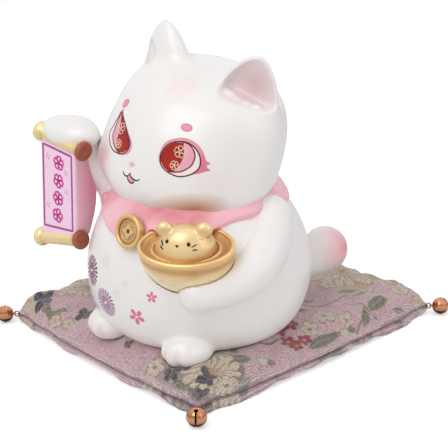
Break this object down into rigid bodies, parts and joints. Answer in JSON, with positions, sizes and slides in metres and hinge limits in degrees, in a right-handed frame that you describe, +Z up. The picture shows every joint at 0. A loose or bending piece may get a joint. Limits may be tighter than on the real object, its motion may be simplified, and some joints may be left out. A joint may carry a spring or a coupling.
{
  "type": "beckoning cat figurine",
  "caption": "Seated glazed beckoning cat holding a hanging scroll and a gold ingot, on a square brocade cushion with a jingle bell at each corner.",
  "frame": {"origin": "centre of the cushion's underside, on the surface it stands on", "axes": "+Z up; the cushion's longer sides run along Y; the cat's front faces -Y, turned a little toward +X, and its left side is toward +X"},
  "size_m": [0.187, 0.205, 0.183],
  "materials": {
    "white_glaze": "satin white glaze with soft pink blush",
    "pink_glaze": "satin pink glaze",
    "gold_paint": "antique gold lustre over ceramic",
    "scroll_pink": "satin pink glaze, painted panel",
    "brown_glaze": "satin brown glaze",
    "stopper": "matt translucent white",
    "brocade": "woven brocade in mauve, cream, grey-green and navy",
    "filling": "loose fibre wadding",
    "tab_cloth": "folded brocade",
    "thread": "twisted thread",
    "bell_brass": "polished rose gold plating",
    "pellet_steel": "plain steel"
  },
  "bodies": {
    "cushion": {"cushion_top_panel": "brocade", "cushion_bottom_panel": "brocade", "cushion_filling": "filling", "corner_tabs": "tab_cloth"},
    "cat": {"body_shell": "white_glaze", "head_shell": "white_glaze", "ear_left": "white_glaze", "ear_right": "white_glaze", "raised_arm": "white_glaze", "cradling_arm": "white_glaze", "foot_left": "white_glaze", "foot_right": "white_glaze", "tail": "white_glaze", "scarf_band": "pink_glaze", "scarf_bib": "pink_glaze", "scarf_knot": "pink_glaze", "coin_charm": "gold_paint", "ingot_bowl": "gold_paint", "ingot_cat": "gold_paint", "scroll_sheet": "scroll_pink", "scroll_top_rod": "gold_paint", "scroll_bottom_rod": "gold_paint", "scroll_end_discs": "brown_glaze"},
    "stopper": {"base_stopper": "stopper"},
    "loop_front_right": {"thread_loop_front_right": "thread"},
    "bell_front_right": {"bell_shell_front_right": "bell_brass"},
    "pellet_front_right": {"bell_pellet_front_right": "pellet_steel"},
    "loop_front_left": {"thread_loop_front_left": "thread"},
    "bell_front_left": {"bell_shell_front_left": "bell_brass"},
    "pellet_front_left": {"bell_pellet_front_left": "pellet_steel"},
    "loop_back_left": {"thread_loop_back_left": "thread"},
    "bell_back_left": {"bell_shell_back_left": "bell_brass"},
    "pellet_back_left": {"bell_pellet_back_left": "pellet_steel"},
    "loop_back_right": {"thread_loop_back_right": "thread"},
    "bell_back_right": {"bell_shell_back_right": "bell_brass"},
    "pellet_back_right": {"bell_pellet_back_right": "pellet_steel"}
  },
  "joints": [
    {"name": "cat_lift", "type": "slide", "parent": "cushion", "child": "cat", "axis": [0, 0, 1], "range_m": [0, 0.12]},
    {"name": "stopper_pull", "type": "slide", "parent": "cat", "child": "stopper", "axis": [0, 0, -1], "range_m": [0, 0.008]},
    {"name": "loop_yaw_front_right", "type": "hinge", "parent": "cushion", "child": "loop_front_right", "pos_m": [-0.08228, -0.09128, 0.00525], "axis": [0, 0, 1], "range_deg": [-60, 60]},
    {"name": "bell_flip_front_right", "type": "hinge", "parent": "loop_front_right", "child": "bell_front_right", "pos_m": [-0.08341, -0.09241, 0.00525], "axis": [-0.7071, 0.7071, 0], "range_deg": [0, 60]},
    {"name": "pellet_rattle_front_right", "type": "slide", "parent": "bell_front_right", "child": "pellet_front_right", "axis": [0, 0, 1], "range_m": [0, 0.0054]},
    {"name": "loop_yaw_front_left", "type": "hinge", "parent": "cushion", "child": "loop_front_left", "pos_m": [0.08228, -0.09128, 0.00525], "axis": [0, 0, 1], "range_deg": [-60, 60]},
    {"name": "bell_flip_front_left", "type": "hinge", "parent": "loop_front_left", "child": "bell_front_left", "pos_m": [0.08341, -0.09241, 0.00525], "axis": [-0.7071, -0.7071, 0], "range_deg": [0, 60]},
    {"name": "pellet_rattle_front_left", "type": "slide", "parent": "bell_front_left", "child": "pellet_front_left", "axis": [0, 0, 1], "range_m": [0, 0.0054]},
    {"name": "loop_yaw_back_left", "type": "hinge", "parent": "cushion", "child": "loop_back_left", "pos_m": [0.08228, 0.09128, 0.00525], "axis": [0, 0, 1], "range_deg": [-60, 60]},
    {"name": "bell_flip_back_left", "type": "hinge", "parent": "loop_back_left", "child": "bell_back_left", "pos_m": [0.08341, 0.09241, 0.00525], "axis": [0.7071, -0.7071, 0], "range_deg": [0, 60]},
    {"name": "pellet_rattle_back_left", "type": "slide", "parent": "bell_back_left", "child": "pellet_back_left", "axis": [0, 0, 1], "range_m": [0, 0.0054]},
    {"name": "loop_yaw_back_right", "type": "hinge", "parent": "cushion", "child": "loop_back_right", "pos_m": [-0.08228, 0.09128, 0.00525], "axis": [0, 0, 1], "range_deg": [-60, 60]},
    {"name": "bell_flip_back_right", "type": "hinge", "parent": "loop_back_right", "child": "bell_back_right", "pos_m": [-0.08341, 0.09241, 0.00525], "axis": [0.7071, 0.7071, 0], "range_deg": [0, 60]},
    {"name": "pellet_rattle_back_right", "type": "slide", "parent": "bell_back_right", "child": "pellet_back_right", "axis": [0, 0, 1], "range_m": [0, 0.0054]}
  ]
}
